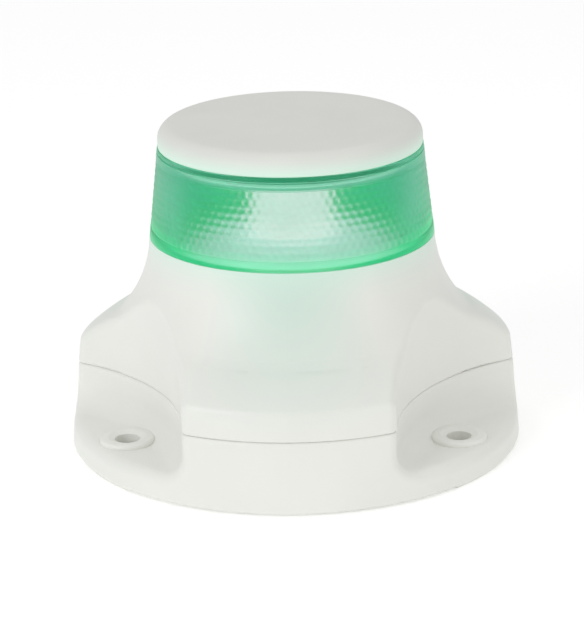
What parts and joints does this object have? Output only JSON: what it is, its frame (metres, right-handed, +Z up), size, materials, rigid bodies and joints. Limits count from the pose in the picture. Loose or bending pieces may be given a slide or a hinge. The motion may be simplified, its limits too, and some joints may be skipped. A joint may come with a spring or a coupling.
{
  "type": "navigation light",
  "caption": "Sealed all-round navigation light: round lobed base with recessed screw lugs, bell-shaped white housing, tapered green lens band and flat cap.",
  "frame": {"origin": "centre of the underside, level with the feet", "axes": "+Z up along the light's axis through lens and cap; -Y out through the lobe that faces the viewer; the mounting lugs lie at 90, 210 and 330 degrees from +X"},
  "size_m": [0.0768, 0.0768, 0.0556],
  "materials": {
    "casing_white": "satin, faintly translucent",
    "cap_white": "fine matte",
    "lens_green": "clear with fine relief, lit from inside",
    "reflector_white": "gloss",
    "diffuser_frosted": "frosted",
    "light_package": "lit",
    "seal_rubber": "matte",
    "board_green": "solder mask",
    "strip_white": "solder mask",
    "post_aluminium": "satin",
    "screw_steel": "satin",
    "ferrite": "matte",
    "winding_copper": "lacquered",
    "part_black": "matte",
    "part_tan": "matte",
    "can_aluminium": "gloss",
    "socket_cream": "matte",
    "header_green": "matte",
    "pin_tinned": "tinned",
    "gland_nylon": "satin"
  },
  "bodies": {
    "root": {"base": "casing_white", "base_seal": "seal_rubber", "housing": "casing_white", "lens": "lens_green", "top_cap": "cap_white", "lens_seal": "seal_rubber", "cap_seal": "seal_rubber", "mounting_gasket": "seal_rubber", "lower_reflector": "reflector_white", "upper_reflector": "reflector_white", "led_post": "post_aluminium", "led_strip": "strip_white", "leds": "light_package", "inner_diffuser": "diffuser_frosted", "post_screw": "screw_steel", "driver_board": "board_green", "board_screws": "screw_steel", "inductor_core": "ferrite", "inductor_winding": "winding_copper", "capacitors": "can_aluminium", "regulator_chip": "part_black", "chip_parts": "part_tan", "tail_socket": "socket_cream", "input_header": "header_green", "header_pins": "pin_tinned", "assembly_screws": "screw_steel", "cable_gland": "gland_nylon", "gland_nut": "gland_nylon", "gland_seal": "seal_rubber"}
  },
  "joints": []
}
